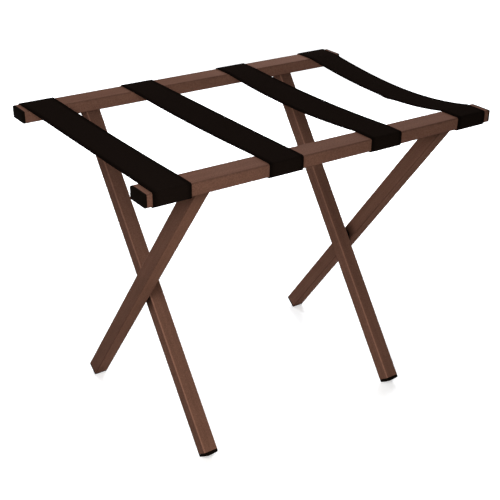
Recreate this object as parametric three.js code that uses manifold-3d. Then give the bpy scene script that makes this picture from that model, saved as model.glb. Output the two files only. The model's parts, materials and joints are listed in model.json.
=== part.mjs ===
// A folding luggage rack: two frames of painted steel tube that cross like scissors, and
// webbing straps that lie across their rails.
// Millimetres, +Z up. X runs along the rails and Y from the front rail to the back rail.
// The origin is on the floor, in the middle of the rack.

import * as THREE from 'three';
import { mergeVertices } from 'three/addons/utils/BufferGeometryUtils.js';
import Module from 'manifold-3d';

const wasm = await Module();
wasm.setup();

// Rails: oblong tube, laid with its wide side up
const RAIL_LENGTH = 635;
const RAIL_DEPTH = 40;
const RAIL_HEIGHT = 20;
const RAIL_WALL = 1.5;
const RAIL_CORNER = 2.2;
const RAIL_TOP = 515; // above the floor
const RAIL_SPAN = 391; // between the centre lines of the two rails

// Legs: square tube, mitred under the rail and cut square at the foot
const LEG_SIDE = 25;
const LEG_WALL = 1.5;
const LEG_CORNER = 2.2;
const LEG_GAP = 6.5; // between two crossing legs
const LEG_TO_STRAP = 9; // from an outer leg to the end strap beside it

// Pivots: a rivet set flush in both legs, with a spacer between the legs and a sleeve inside each
const PIVOT_HEIGHT = 232;
const PIVOT_DIAMETER = 7;
const PIVOT_HEAD = 10;
const PIVOT_DIMPLE = 6; // mouth of the shallow cone in each end of the rivet
const DIMPLE_DEPTH = 1.2;
const SPACER_DIAMETER = 18;
const SLEEVE_DIAMETER = 12;

// End plugs: a rounded flange and a hollow insert with gripping fins
const RAIL_FLANGE = 4.5;
const FOOT_FLANGE = 5;
const PLUG_EDGE = 2; // radius of the flange's outer edge
const PLUG_DEPTH = 14;
const PLUG_SHELL = 2;
const FIN_PROUD = 0.8;
const FIN_THICKNESS = 1.2;
const FIN_SPACING = 6;

// Straps: flat webbing, wrapped over the outer side of each rail and riveted underneath
const STRAP_WIDTH = 60;
const STRAP_THICKNESS = 1.5;
const STRAP_TAIL = 30; // the length that lies under a rail
const MIDDLE_STRAP_SHARE = 0.34; // place of a middle strap, from the middle of the rack to an end strap
const STRAP_SAG = { left_end: 1.5, left_middle: 3, right_middle: 7, right_end: 14 };

// Strap rivets: a domed head under the strap and a set bulb inside the rail
const RIVET_DIAMETER = 4;
const RIVET_HEAD = 10;
const RIVET_DOME = 2;
const RIVET_BULB = 6.5;
const RIVET_BULB_LENGTH = 5;
const RIVET_EDGE = 11.5; // from a strap's edge to the middle of a rivet
const RIVET_TO_PLUG = 1.75; // from the last rivet's bulb to the plug inside the rail

// Gap between pieces that touch or turn on each other
const CLEARANCE = 0.3;

// Steps in a quarter of a round corner
const CORNER_STEPS = 4;
const INSERT_STEPS = 2;

// Steps in a full turn of a round piece
const PIVOT_STEPS = 28;
const RIVET_STEPS = 12;

// Steps along a curve
const EDGE_STEPS = 3;
const DOME_STEPS = 3;
const SAG_STEPS = 5;

// Points closer than this are one corner of a solid
const SAME_POINT = 1e-4;

// Sizes that follow from the ones above
const RAIL_BOTTOM = RAIL_TOP - RAIL_HEIGHT;
const LEG_RISE = RAIL_BOTTOM - PIVOT_HEIGHT;
const LEG_LEAN = Math.atan2(RAIL_SPAN / 2, LEG_RISE);
const RIVET_SPACING = STRAP_WIDTH - 2 * RIVET_EDGE;
const LAST_RIVET_X = RAIL_LENGTH / 2 - PLUG_DEPTH - RIVET_TO_PLUG - RIVET_BULB / 2;
const END_STRAP_X = LAST_RIVET_X - RIVET_SPACING / 2;
const OUTER_LEG_X = END_STRAP_X - STRAP_WIDTH / 2 - LEG_TO_STRAP - LEG_SIDE / 2;
const INNER_LEG_X = OUTER_LEG_X - LEG_SIDE - LEG_GAP;
const STRAP_X = {
  left_end: -END_STRAP_X,
  left_middle: -END_STRAP_X * MIDDLE_STRAP_SHARE,
  right_middle: END_STRAP_X * MIDDLE_STRAP_SHARE,
  right_end: END_STRAP_X,
};

const PAINT = new THREE.MeshStandardMaterial({ color: '#68483a', roughness: 0.45, metalness: 0.3 });
const STEEL = new THREE.MeshStandardMaterial({ color: '#9a9794', roughness: 0.35, metalness: 1 });
const PLASTIC = new THREE.MeshStandardMaterial({ color: '#1d1916', roughness: 0.5, metalness: 0 });
const WEBBING = new THREE.MeshStandardMaterial({ color: '#15110f', roughness: 0.9, metalness: 0 });

// The solid inside a closed geometry, ready to be cut or joined
function solidOf(geometry) {
  const bare = geometry.clone();
  bare.deleteAttribute('normal');
  bare.deleteAttribute('uv');
  const merged = mergeVertices(bare, SAME_POINT);
  return new wasm.Manifold(new wasm.Mesh({
    numProp: 3,
    vertProperties: merged.attributes.position.array,
    triVerts: new Uint32Array(merged.index.array),
  }));
}

function geometryOf(solid) {
  const mesh = solid.getMesh();
  const geometry = new THREE.BufferGeometry();
  geometry.setAttribute('position', new THREE.BufferAttribute(mesh.vertProperties, 3));
  geometry.setIndex(new THREE.BufferAttribute(mesh.triVerts, 1));
  geometry.computeVertexNormals();
  return geometry;
}

function joined(first, ...others) {
  return geometryOf(others.reduce((sum, other) => sum.add(solidOf(other)), solidOf(first)));
}

function cut(body, ...tools) {
  return geometryOf(tools.reduce((rest, tool) => rest.subtract(solidOf(tool)), solidOf(body)));
}

// A rectangle with rounded corners, centred on the origin
function roundedRectangle(width, height, radius, Outline = THREE.Shape) {
  const x = width / 2 - radius;
  const y = height / 2 - radius;
  const outline = new Outline();
  outline.absarc(x, y, radius, 0, Math.PI / 2);
  outline.absarc(-x, y, radius, Math.PI / 2, Math.PI);
  outline.absarc(-x, -y, radius, Math.PI, Math.PI * 1.5);
  outline.absarc(x, -y, radius, Math.PI * 1.5, Math.PI * 2);
  outline.closePath();
  return outline;
}

// The section of a tube: an outline with the bore as its hole
function tubeSection(width, height, wall, corner) {
  const section = roundedRectangle(width, height, corner);
  const boreCorner = Math.max(corner - wall, wall / 3);
  section.holes.push(roundedRectangle(width - 2 * wall, height - 2 * wall, boreCorner, THREE.Path));
  return section;
}

function ringSection(outerDiameter, boreDiameter) {
  const section = new THREE.Shape().absarc(0, 0, outerDiameter / 2, 0, Math.PI * 2);
  section.holes.push(new THREE.Path().absarc(0, 0, boreDiameter / 2, 0, Math.PI * 2));
  return section;
}

// A section drawn in X and Y, drawn out along Z from z = start to z = end
function drawnOut(section, start, end, steps = CORNER_STEPS) {
  const options = { depth: end - start, bevelEnabled: false, curveSegments: steps / 2 };
  return new THREE.ExtrudeGeometry(section, options).translate(0, 0, start);
}

// Turns a piece drawn in X, Y and Z so that its X, Y and Z point along Y, Z and X
const ALONG_X = new THREE.Matrix4().makeBasis(
  new THREE.Vector3(0, 1, 0),
  new THREE.Vector3(0, 0, 1),
  new THREE.Vector3(1, 0, 0),
);

function alongX(section, length, steps) {
  return drawnOut(section, -length / 2, length / 2, steps).applyMatrix4(ALONG_X);
}

// A profile of [radius, height] points, turned about the X axis or the Z axis
function turned(profile, steps) {
  return new THREE.LatheGeometry(profile.map(([r, h]) => new THREE.Vector2(r, h)), steps);
}

function turnedAboutX(profile, steps) {
  return turned(profile, steps).rotateZ(-Math.PI / 2);
}

function turnedAboutZ(profile, steps) {
  return turned(profile, steps).rotateX(Math.PI / 2);
}

function piece(name, geometry, material) {
  const mesh = new THREE.Mesh(geometry, material);
  mesh.name = name;
  return mesh;
}

// A rail lies along X with its middle at the origin. Its bottom wall is drilled for the strap rivets
function railGeometry() {
  const section = tubeSection(RAIL_DEPTH, RAIL_HEIGHT, RAIL_WALL, RAIL_CORNER);
  const holes = Object.values(STRAP_X).flatMap((strapX) => [-1, 1].map((side) => {
    const radius = RIVET_DIAMETER / 2 + CLEARANCE;
    const hole = new THREE.CylinderGeometry(radius, radius, RAIL_WALL * 3, RIVET_STEPS);
    const wallMiddle = -RAIL_HEIGHT / 2 + RAIL_WALL / 2;
    return hole.rotateX(Math.PI / 2).translate(strapX + side * RIVET_SPACING / 2, 0, wallMiddle);
  }));
  return cut(alongX(section, RAIL_LENGTH), ...holes);
}

// How far the foot reaches down the leg from the pivot, so that its rounded lower edge meets the floor
const FOOT_REACH = PLUG_EDGE
  + (PIVOT_HEIGHT - PLUG_EDGE - (LEG_SIDE / 2 - PLUG_EDGE) * Math.sin(LEG_LEAN)) / Math.cos(LEG_LEAN);
const LEG_END = FOOT_REACH - FOOT_FLANGE - CLEARANCE;

// A leg stands along Z with its pivot at the origin.
// flushSide is the side, -1 or 1 along X, where the pivot rivet's head is sunk in it
function legGeometry(flushSide) {
  const section = tubeSection(LEG_SIDE, LEG_SIDE, LEG_WALL, LEG_CORNER);
  const leg = drawnOut(section, -LEG_END, LEG_RISE);
  const corner = leg.attributes.position;
  for (let i = 0; i < corner.count; i += 1) {
    if (corner.getZ(i) > 0) {
      const rise = LEG_RISE - CLEARANCE - corner.getY(i) * Math.sin(LEG_LEAN);
      corner.setZ(i, rise / Math.cos(LEG_LEAN));
    }
  }
  const face = LEG_SIDE / 2;
  const hole = PIVOT_DIAMETER / 2 + CLEARANCE;
  const sink = PIVOT_HEAD / 2 + CLEARANCE;
  const drill = turnedAboutX([
    [0, -face - LEG_WALL],
    [hole, -face - LEG_WALL],
    [hole, face - LEG_WALL],
    [sink, face],
    [sink, face + LEG_WALL],
    [0, face + LEG_WALL],
  ], PIVOT_STEPS);
  return cut(leg, flushSide < 0 ? drill.rotateZ(Math.PI) : drill);
}

// A plug for a tube that ends at z = 0 and runs down from there. The flange lies over the tube's end
function plugGeometry({ width, height, wall, corner, flangeThickness }) {
  const slab = new THREE.ExtrudeGeometry(roundedRectangle(width, height, corner), {
    depth: flangeThickness - PLUG_EDGE,
    bevelThickness: PLUG_EDGE,
    bevelSize: PLUG_EDGE,
    bevelOffset: -PLUG_EDGE,
    bevelSegments: EDGE_STEPS,
    curveSegments: CORNER_STEPS / 2,
  }).translate(0, 0, CLEARANCE);
  const flange = geometryOf(solidOf(slab).trimByPlane([0, 0, 1], CLEARANCE));
  const finInset = 2 * (wall + CLEARANCE);
  const finWidth = width - finInset;
  const finHeight = height - finInset;
  const insert = (proud, thickness) => tubeSection(
    finWidth - 2 * (FIN_PROUD - proud),
    finHeight - 2 * (FIN_PROUD - proud),
    thickness,
    corner,
  );
  const shell = drawnOut(insert(0, PLUG_SHELL), -PLUG_DEPTH, CLEARANCE + PLUG_EDGE, INSERT_STEPS);
  const fins = [1, 2].map((n) => {
    const middle = -n * FIN_SPACING;
    const section = insert(FIN_PROUD, PLUG_SHELL / 2 + FIN_PROUD);
    return drawnOut(section, middle - FIN_THICKNESS / 2, middle + FIN_THICKNESS / 2, INSERT_STEPS);
  });
  return joined(flange, shell, ...fins);
}

// A pivot rivet runs along X through two crossing legs. Its middle is the middle of the gap between them
function pivotRivetGeometry() {
  const end = LEG_SIDE + LEG_GAP / 2;
  const shank = PIVOT_DIAMETER / 2;
  return turnedAboutX([
    [0, -end + DIMPLE_DEPTH],
    [PIVOT_DIMPLE / 2, -end],
    [PIVOT_HEAD / 2, -end],
    [shank, -end + LEG_WALL],
    [shank, end - LEG_WALL],
    [PIVOT_HEAD / 2, end],
    [PIVOT_DIMPLE / 2, end],
    [0, end - DIMPLE_DEPTH],
  ], PIVOT_STEPS);
}

function collarGeometry(diameter, length) {
  return alongX(ringSection(diameter, PIVOT_DIAMETER + 2 * CLEARANCE), length, PIVOT_STEPS / 2);
}

// Heights at a strap rivet, from the underside of the rail
const STRAP_UNDERSIDE = -CLEARANCE - STRAP_THICKNESS;
const RIVET_SEAT = STRAP_UNDERSIDE - CLEARANCE;

// A strap rivet stands along Z, with the underside of the rail at z = 0
function strapRivetGeometry() {
  const dome = new THREE.QuadraticBezierCurve(
    new THREE.Vector2(0, RIVET_SEAT - RIVET_DOME),
    new THREE.Vector2(RIVET_HEAD / 2 - RIVET_DOME / 2, RIVET_SEAT - RIVET_DOME),
    new THREE.Vector2(RIVET_HEAD / 2, RIVET_SEAT),
  );
  const shank = RIVET_DIAMETER / 2;
  const setFrom = RAIL_WALL + CLEARANCE;
  return turnedAboutZ([
    ...dome.getPoints(DOME_STEPS).map((point) => [point.x, point.y]),
    [shank, RIVET_SEAT],
    [shank, setFrom],
    [RIVET_BULB / 2, setFrom],
    [RIVET_BULB / 2, setFrom + RIVET_BULB_LENGTH],
    [0, setFrom + RIVET_BULB_LENGTH],
  ], RIVET_STEPS);
}

// One side of a strap's outline in Y and Z, at a height above the tube's skin: from its tail under the
// front rail, up the outer side, over the top, across to the back rail and down to its tail there
function traceStrap(outline, above, sag) {
  const outer = RAIL_SPAN / 2 + RAIL_DEPTH / 2;
  const bend = outer - RAIL_CORNER;
  const radius = RAIL_CORNER + above;
  const low = RAIL_BOTTOM + RAIL_CORNER;
  const high = RAIL_TOP - RAIL_CORNER;
  const leaves = RAIL_SPAN / 2 - RAIL_DEPTH / 2 + RAIL_CORNER;
  const tail = outer - STRAP_TAIL;
  outline.moveTo(-tail, RAIL_BOTTOM - above);
  outline.absarc(-bend, low, radius, -Math.PI / 2, -Math.PI, true);
  outline.absarc(-bend, high, radius, Math.PI, Math.PI / 2, true);
  outline.lineTo(-leaves, RAIL_TOP + above);
  outline.quadraticCurveTo(0, RAIL_TOP + above - 2 * sag, leaves, RAIL_TOP + above);
  outline.absarc(bend, high, radius, Math.PI / 2, 0, true);
  outline.absarc(bend, low, radius, 0, -Math.PI / 2, true);
  outline.lineTo(tail, RAIL_BOTTOM - above);
  return outline;
}

// A strap lies across both rails, with its middle at x = 0 and its tails pierced for the rivets
function strapGeometry(sag) {
  const topSide = traceStrap(new THREE.Path(), CLEARANCE + STRAP_THICKNESS, sag).getPoints(SAG_STEPS);
  const underside = traceStrap(new THREE.Path(), CLEARANCE, sag).getPoints(SAG_STEPS);
  const band = new THREE.Shape([...topSide, ...underside.reverse()]);
  const radius = RIVET_DIAMETER / 2 + CLEARANCE;
  const length = STRAP_THICKNESS + 2 * CLEARANCE;
  const middle = RAIL_BOTTOM + STRAP_UNDERSIDE + STRAP_THICKNESS / 2;
  const holes = [-1, 1].flatMap((sideX) => [-1, 1].map((sideY) => (
    new THREE.CylinderGeometry(radius, radius, length, RIVET_STEPS)
      .rotateX(Math.PI / 2)
      .translate(sideX * RIVET_SPACING / 2, sideY * RAIL_SPAN / 2, middle)
  )));
  return cut(alongX(band, STRAP_WIDTH), ...holes);
}

// A frame: a rail with its end plugs, the strap rivets under it, and two legs with their feet.
// It is drawn with its rail at the front. The back frame is the same, turned half round
function makeFrame({ rail, leg, legX, flushSide, turn }) {
  const frame = new THREE.Group();
  frame.rotation.z = turn;
  const facing = Math.cos(turn);

  const top = new THREE.Group();
  top.position.set(0, -RAIL_SPAN / 2, RAIL_TOP - RAIL_HEIGHT / 2);
  top.add(piece(`${rail}_rail`, railGeometry(), PAINT));
  for (const [side, sign] of [['left', -1], ['right', 1]]) {
    const geometry = plugGeometry({
      width: RAIL_DEPTH,
      height: RAIL_HEIGHT,
      wall: RAIL_WALL,
      corner: RAIL_CORNER,
      flangeThickness: RAIL_FLANGE,
    });
    const plug = piece(`${rail}_rail_plug_${side}`, geometry.applyMatrix4(ALONG_X), PLASTIC);
    plug.position.x = facing * sign * RAIL_LENGTH / 2;
    plug.rotation.z = facing * sign > 0 ? 0 : Math.PI;
    top.add(plug);
  }
  for (const [strap, strapX] of Object.entries(STRAP_X)) {
    for (const [side, sign] of [['left', -1], ['right', 1]]) {
      const rivet = piece(`${rail}_rivet_${strap}_${side}`, strapRivetGeometry(), STEEL);
      rivet.position.set(facing * (strapX + sign * RIVET_SPACING / 2), 0, -RAIL_HEIGHT / 2);
      top.add(rivet);
    }
  }
  frame.add(top);

  for (const [side, sign] of [['left', -1], ['right', 1]]) {
    const post = new THREE.Group();
    post.position.set(facing * sign * legX, 0, PIVOT_HEIGHT);
    post.rotation.x = LEG_LEAN;
    post.add(piece(`${leg}_leg_${side}`, legGeometry(facing * sign * flushSide), PAINT));
    const sleeve = collarGeometry(SLEEVE_DIAMETER, LEG_SIDE - 2 * LEG_WALL - 2 * CLEARANCE);
    post.add(piece(`${leg}_leg_sleeve_${side}`, sleeve, STEEL));
    const footGeometry = plugGeometry({
      width: LEG_SIDE,
      height: LEG_SIDE,
      wall: LEG_WALL,
      corner: LEG_CORNER,
      flangeThickness: FOOT_FLANGE,
    });
    const foot = piece(`${leg}_foot_${side}`, footGeometry, PLASTIC);
    foot.position.z = -LEG_END;
    foot.rotation.x = Math.PI;
    post.add(foot);
    frame.add(post);
  }
  return frame;
}

function makePivots() {
  const pivots = new THREE.Group();
  for (const [side, sign] of [['left', -1], ['right', 1]]) {
    const pivot = new THREE.Group();
    pivot.position.set(sign * (OUTER_LEG_X + INNER_LEG_X) / 2, 0, PIVOT_HEIGHT);
    pivot.add(piece(`pivot_rivet_${side}`, pivotRivetGeometry(), PAINT));
    const spacer = collarGeometry(SPACER_DIAMETER, LEG_GAP - 2 * CLEARANCE);
    pivot.add(piece(`pivot_spacer_${side}`, spacer, PLASTIC));
    pivots.add(pivot);
  }
  return pivots;
}

function makeStraps() {
  const straps = new THREE.Group();
  for (const [name, x] of Object.entries(STRAP_X)) {
    const strap = piece(`strap_${name}`, strapGeometry(STRAP_SAG[name]), WEBBING);
    strap.position.x = x;
    straps.add(strap);
  }
  return straps;
}

const rack = new THREE.Group();
rack.add(makeFrame({ rail: 'front', leg: 'outer', legX: OUTER_LEG_X, flushSide: 1, turn: 0 }));
rack.add(makeFrame({ rail: 'back', leg: 'inner', legX: INNER_LEG_X, flushSide: -1, turn: Math.PI }));
rack.add(makePivots());
rack.add(makeStraps());

export default rack;
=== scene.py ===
"""The finished surfaces of a folding luggage rack: two crossed frames of coated tube, with webbing between.

Everything is in metres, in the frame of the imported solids: X runs along the rails, Y from the front rail to
the back rail, and Z up from the floor. Each surface is worked out as an array and stands for one solid.
"""

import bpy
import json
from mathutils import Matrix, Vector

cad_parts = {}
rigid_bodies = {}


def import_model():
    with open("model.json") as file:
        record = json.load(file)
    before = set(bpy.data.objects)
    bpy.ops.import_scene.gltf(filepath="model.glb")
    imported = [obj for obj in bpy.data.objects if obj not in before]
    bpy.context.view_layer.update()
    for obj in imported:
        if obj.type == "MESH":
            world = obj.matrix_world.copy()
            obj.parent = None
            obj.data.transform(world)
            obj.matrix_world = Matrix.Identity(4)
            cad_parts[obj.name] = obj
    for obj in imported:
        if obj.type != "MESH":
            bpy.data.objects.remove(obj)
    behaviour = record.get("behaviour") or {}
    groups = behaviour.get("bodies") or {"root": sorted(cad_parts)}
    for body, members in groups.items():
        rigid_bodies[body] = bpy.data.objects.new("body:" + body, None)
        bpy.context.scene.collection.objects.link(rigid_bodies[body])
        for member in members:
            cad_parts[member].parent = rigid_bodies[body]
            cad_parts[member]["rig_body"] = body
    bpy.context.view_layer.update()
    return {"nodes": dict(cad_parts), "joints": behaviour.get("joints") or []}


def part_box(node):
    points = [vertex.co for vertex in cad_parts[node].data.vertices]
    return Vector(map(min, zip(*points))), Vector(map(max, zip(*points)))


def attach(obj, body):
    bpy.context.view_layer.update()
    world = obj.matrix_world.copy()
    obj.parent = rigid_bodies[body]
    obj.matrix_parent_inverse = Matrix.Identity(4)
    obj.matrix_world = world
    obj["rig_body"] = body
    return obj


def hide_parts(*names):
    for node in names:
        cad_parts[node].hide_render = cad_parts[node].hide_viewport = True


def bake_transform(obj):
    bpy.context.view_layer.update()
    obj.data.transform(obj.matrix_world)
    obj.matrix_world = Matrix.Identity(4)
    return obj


bl_info = {
    "name": "Folding Luggage Rack",
    "version": (1, 0, 0),
    "blender": (4, 5, 0),
    "location": "View3D > Sidebar > Luggage Rack",
    "description": "Builds the finished surfaces of a folding luggage rack around its solids",
    "category": "Add Mesh",
}

import json
import math
from itertools import product

import bpy
import numpy as np
from bpy.props import FloatProperty, FloatVectorProperty, PointerProperty
from bpy.types import NodeSocket, Operator, Panel, PropertyGroup
from mathutils import Matrix, Vector

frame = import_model()

MM = 0.001
SIDES = {"left": -1, "right": 1}
RAILS = {"front": "outer_frame", "back": "inner_frame"}
LEGS = {"outer": "front", "inner": "back"}
STRAPS = ("left_end", "left_middle", "right_middle", "right_end")

# Places and sizes that the solids give
PIVOT = np.array(frame["joints"][0]["pos_m"])
RAIL_LOW, RAIL_HIGH = np.array(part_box("front_rail"))
RAIL_DEPTH = RAIL_HIGH[1] - RAIL_LOW[1]
RAIL_REACH = -(RAIL_LOW[1] + RAIL_HIGH[1]) / 2
LEG_RISE = RAIL_LOW[2] - PIVOT[2]
LEG_LEAN = math.atan2(RAIL_REACH, LEG_RISE)
LEG_SIDE = np.ptp(np.array(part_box("outer_leg_left"))[:, 0])
STRAP_LOW, STRAP_HIGH = np.array(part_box("strap_left_end"))
STRAP_WIDTH = STRAP_HIGH[0] - STRAP_LOW[0]
STRAP_RISE = STRAP_HIGH[2] - RAIL_HIGH[2]

# Gap that the solids keep where real pieces touch
CLEARANCE = 0.3 * MM

# Rounding at the rim of a pivot rivet's head
RIVET_LIP = 0.25 * MM

# How finely the surfaces are divided
SHARP_ANGLE = math.radians(32)
CORNER_STEPS = 8
FLAT_SPLITS = np.array([0.03, 0.5, 0.97])
RAIL_STATIONS = 9
HOLE_STEPS = 8
WELD_SPLITS = np.linspace(0, 1, 34)[1:-1]
WELD_STEPS = 7
PLUG_STEPS = 7
ROUND_STEPS = 48
EDGE_STEPS = 6
RIVET_STEPS = 24
DOME_STEPS = 8
STRAP_COLUMNS = 41
SELVEDGE_STEPS = 7
TAIL_STEPS = 24
BEND_STEPS = 12
SIDE_STEPS = 10
TOP_STEPS = 24
FREE_STEPS = 90


# Settings

def linear(colour):
    """A colour written as sRGB hex, as the linear red, green, blue and alpha that Blender's sockets hold."""
    srgb = np.array([int(colour[i:i + 2], 16) for i in (1, 3, 5)]) / 255
    value = np.where(srgb <= 0.04045, srgb / 12.92, ((srgb + 0.055) / 1.055) ** 2.4)
    return (*value.tolist(), 1.0)


def length_setting(name, description, size, least=0.0, **limits):
    """A length, written in millimetres."""
    return FloatProperty(
        name=name, description=description, default=size * MM, min=least * MM, unit="LENGTH", **limits,
    )


def strap_setting(name, description, sizes):
    """A length for each strap, written in millimetres."""
    return FloatVectorProperty(
        name=name,
        description=f"{description}, from the left strap to the right one",
        size=len(STRAPS),
        default=tuple(size * MM for size in sizes),
        unit="LENGTH",
    )


def share_setting(name, description, share):
    """A share from 0 to 1."""
    return FloatProperty(
        name=name, description=description, default=share, min=0.0, max=1.0, subtype="FACTOR",
    )


def colour_setting(name, description, colour):
    """A colour, written as sRGB hex."""
    return FloatVectorProperty(
        name=name, description=description, default=linear(colour), size=4, min=0.0, max=1.0, subtype="COLOR",
    )


def angle_setting(name, description, degrees):
    """An angle, written in degrees."""
    return FloatProperty(name=name, description=description, default=math.radians(degrees), subtype="ANGLE")


def power_setting(name, description, watts):
    """The power of a light, written in watts."""
    return FloatProperty(name=name, description=description, default=watts, min=0.0, unit="POWER")


class TubeSettings(PropertyGroup):
    """Sizes of the tubes and of the welds that join them."""

    corner: length_setting("Corner radius", "Radius of the tubes' rounded edges", 2.2, least=0.5)
    wall: length_setting("Wall", "Thickness of the tubes' walls", 1.5, least=0.5)
    weld: length_setting("Weld leg", "How far a weld reaches along the rail and down the leg", 1.6, least=0.5)
    ripple: length_setting("Weld ripple", "Distance between the ripples of a weld", 2.6, least=0.5)


class PlugSettings(PropertyGroup):
    """Sizes of the moulded plugs in the rail ends and the feet."""

    edge: length_setting("Edge radius", "Radius of the flange's rounded edge", 2.0, least=0.2)
    crown: length_setting(
        "Crown of rail plugs", "How far the middle of a rail plug's flange stands above its edge", 0.5,
    )
    foot_crown: length_setting(
        "Crown of feet", "How far the middle of a foot's flange stands out from its edge", 2.2,
    )
    shell: length_setting("Shell", "Wall of the hollow insert", 2.0, least=0.5)
    fin: length_setting("Fin", "How far a gripping fin stands out from the insert", 0.8, least=0.1)
    fin_spacing: length_setting(
        "Fin spacing", "Distance from the flange to the first fin, and from fin to fin", 6.0, least=2.0,
    )


class StrapSettings(PropertyGroup):
    """Sizes of the webbing and how far each strap hangs."""

    thickness: length_setting("Thickness", "Thickness of the webbing", 1.5, least=0.5, max=STRAP_RISE)
    tail: length_setting("Tail", "Length of webbing that lies under a rail", 30.0, least=10.0)
    left_sag: strap_setting(
        "Sag of left edges", "How far each strap's left edge hangs in the middle", (0.3, 3.3, 9.0, 14.3),
    )
    right_sag: strap_setting(
        "Sag of right edges", "How far each strap's right edge hangs in the middle", (1.6, 0.3, 4.6, 15.3),
    )
    slump: strap_setting(
        "Slump", "How much each strap's hang grows towards the front rail", (0.0, 0.0, 0.0, 3.6),
    )
    curl: strap_setting(
        "Curl", "How far each strap's left edge curls down in one place", (0.0, 0.0, 0.0, 1.8),
    )
    curl_place: length_setting(
        "Curl place", "Where along the rack's depth an edge curls down", -42.0, least=-180.0,
    )
    curl_width: length_setting("Curl width", "How far a curl reaches along the edge", 16.0, least=5.0)
    front_shift: strap_setting(
        "Shift at front", "How far each strap is off its place along the front rail", (0.3, 3.8, 1.6, -2.5),
    )
    back_shift: strap_setting(
        "Shift at back", "How far each strap is off its place along the back rail", (-0.8, -0.8, 1.3, 1.0),
    )
    dent: length_setting("Rivet dent", "How far a rivet's head presses into the webbing", 0.25)


class FinishSettings(PropertyGroup):
    """Colours and patterns of the finishes, and the highlights and shades painted on the coat."""

    coat: colour_setting("Coating", "Colour of the powder coat", "#63463a")
    # Painted highlight: the legs' upper edges are painted lighter, where the light catches their rounding
    edge_highlight: share_setting(
        "Highlighted edges", "How much lighter the coat is along the legs' upper edges, which get highlighted", 0.68,
    )
    # Painted shade: the rails' upper edges are painted darker, where their rounding turns away from the light
    seam: share_setting("Dark edges", "How much darker the coat is along the rails' upper edges", 0.2)
    # Painted shade: the other edges of the rails and legs are painted darker, where their rounding turns away
    # from the light
    other_edge_shading: share_setting("Shadowed edges", "How much darker the coat is along the other edges", 0.32)
    # Painted shade: the legs' tops are painted darker under the rails, where the rails shade them
    under_rail_shading: share_setting("Shadowed by welds", "How much darker the coat is at the legs' tops, by the welds", 0.42)
    # Painted shade: the legs are painted darker round the pivots, in the narrow gap where they shade each
    # other
    pivot_gap_shading: share_setting(
        "Shadowed by pivots", "How much darker the coat is round the pivots, where the legs pass each other", 0.7,
    )
    webbing: colour_setting("Webbing", "Colour of the webbing's yarn", "#17110e")
    plastic: colour_setting("Plugs", "Colour of the moulded plugs", "#0e0a07")
    zinc: colour_setting("Zinc", "Colour of the plated rivets and sleeves", "#b4b3ae")
    peel: length_setting("Orange peel", "Width of the waves in the powder coat", 1.8, least=0.2)
    streak: length_setting("Streaks", "Width of the streaks along the tubes", 5.0, least=0.5)
    warp: length_setting("Warp spacing", "Distance between the yarns that run along a strap", 1.6, least=0.2)
    weft: length_setting("Weft spacing", "Distance between the yarns that run across a strap", 2.2, least=0.2)
    selvedge: length_setting("Selvedge", "Width of the tighter weave along a strap's edges", 10.0, least=1.0)


class StageSettings(PropertyGroup):
    """Where the camera stands and how the rack is lit."""

    azimuth: angle_setting(
        "Azimuth", "Angle of the camera round the rack, from straight ahead towards +X", -36.09,
    )
    elevation: angle_setting("Elevation", "Angle of the camera above the horizon", 28.91)
    roll: angle_setting("Roll", "Turn of the camera about its own line of sight", 1.29)
    distance: length_setting("Distance", "Distance from the camera to the point that it looks at", 1815.4)
    aim: FloatVectorProperty(
        name="Aim",
        description="Point that the camera looks at",
        default=(0.0418, 0.0, 0.1613),
        subtype="XYZ",
        unit="LENGTH",
    )
    lens: FloatProperty(
        name="Lens",
        description="Focal length for a sensor 36 mm wide, in millimetres",
        default=72.17,
        unit="CAMERA",
    )
    shift: FloatVectorProperty(
        name="Shift",
        description="Shift of the picture, as a share of its width",
        size=2,
        default=(-0.04, 0.084),
    )
    daylight: FloatProperty(
        name="Daylight",
        description="Strength of the even light from all round",
        default=0.1,
        min=0.0,
    )
    key_light: power_setting(
        "Key light", "Power of the softbox off the front left corner, twice as high as the rack", 13.8,
    )
    low_light: power_setting(
        "Low light", "Power of the small softbox close to the front left foot, near the floor", 1.2,
    )
    side_light: power_setting("Side light", "Power of the small softbox to the left of the rack", 0.5)
    back_light: power_setting("Back light", "Power of the softbox behind the rack and to its right", 27.5)
    top_light: power_setting("Top light", "Power of the softbox high up behind the rack", 16.8)


def settings(name):
    """The scene's property group of that name."""
    return getattr(bpy.context.scene, f"luggage_{name}")


# Grids and meshes

def grid_faces(rows, columns, wrap=False):
    """Quads of a grid of rings whose corner (row, column) has the index row times columns plus column.

    The last column joins the first, and in a grid that wraps so does the last row. Seen from the side where
    columns run to the right and rows run up, the quads turn counter-clockwise.
    """
    row = np.arange(rows if wrap else rows - 1)[:, None]
    column = np.arange(columns)[None, :]
    next_row = (row + 1) % rows
    next_column = (column + 1) % columns
    corners = (
        row * columns + column,
        row * columns + next_column,
        next_row * columns + next_column,
        next_row * columns + column,
    )
    return np.stack(np.broadcast_arrays(*corners), axis=-1)


def closed_stack(rings, wrap=False):
    """A closed surface through a stack of rings, an array of rings by points by 3.

    Each ring joins the next. A stack that doesn't wrap is closed at both ends by a fan of triangles about the
    middle of its end ring.
    """
    count, size = rings.shape[:2]
    quads = grid_faces(count, size, wrap).reshape(-1, 4)
    points = rings.reshape(-1, 3)
    if wrap:
        return points, quads.tolist()
    first = np.arange(size)
    last = first + (count - 1) * size
    low_pole = np.full(size, len(points))
    high_pole = low_pole + 1
    low_fan = np.stack([np.roll(first, -1), first, low_pole], axis=1)
    high_fan = np.stack([last, np.roll(last, -1), high_pole], axis=1)
    poles = np.stack([rings[0].mean(axis=0), rings[-1].mean(axis=0)])
    return np.concatenate([points, poles]), quads.tolist() + low_fan.tolist() + high_fan.tolist()


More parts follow.
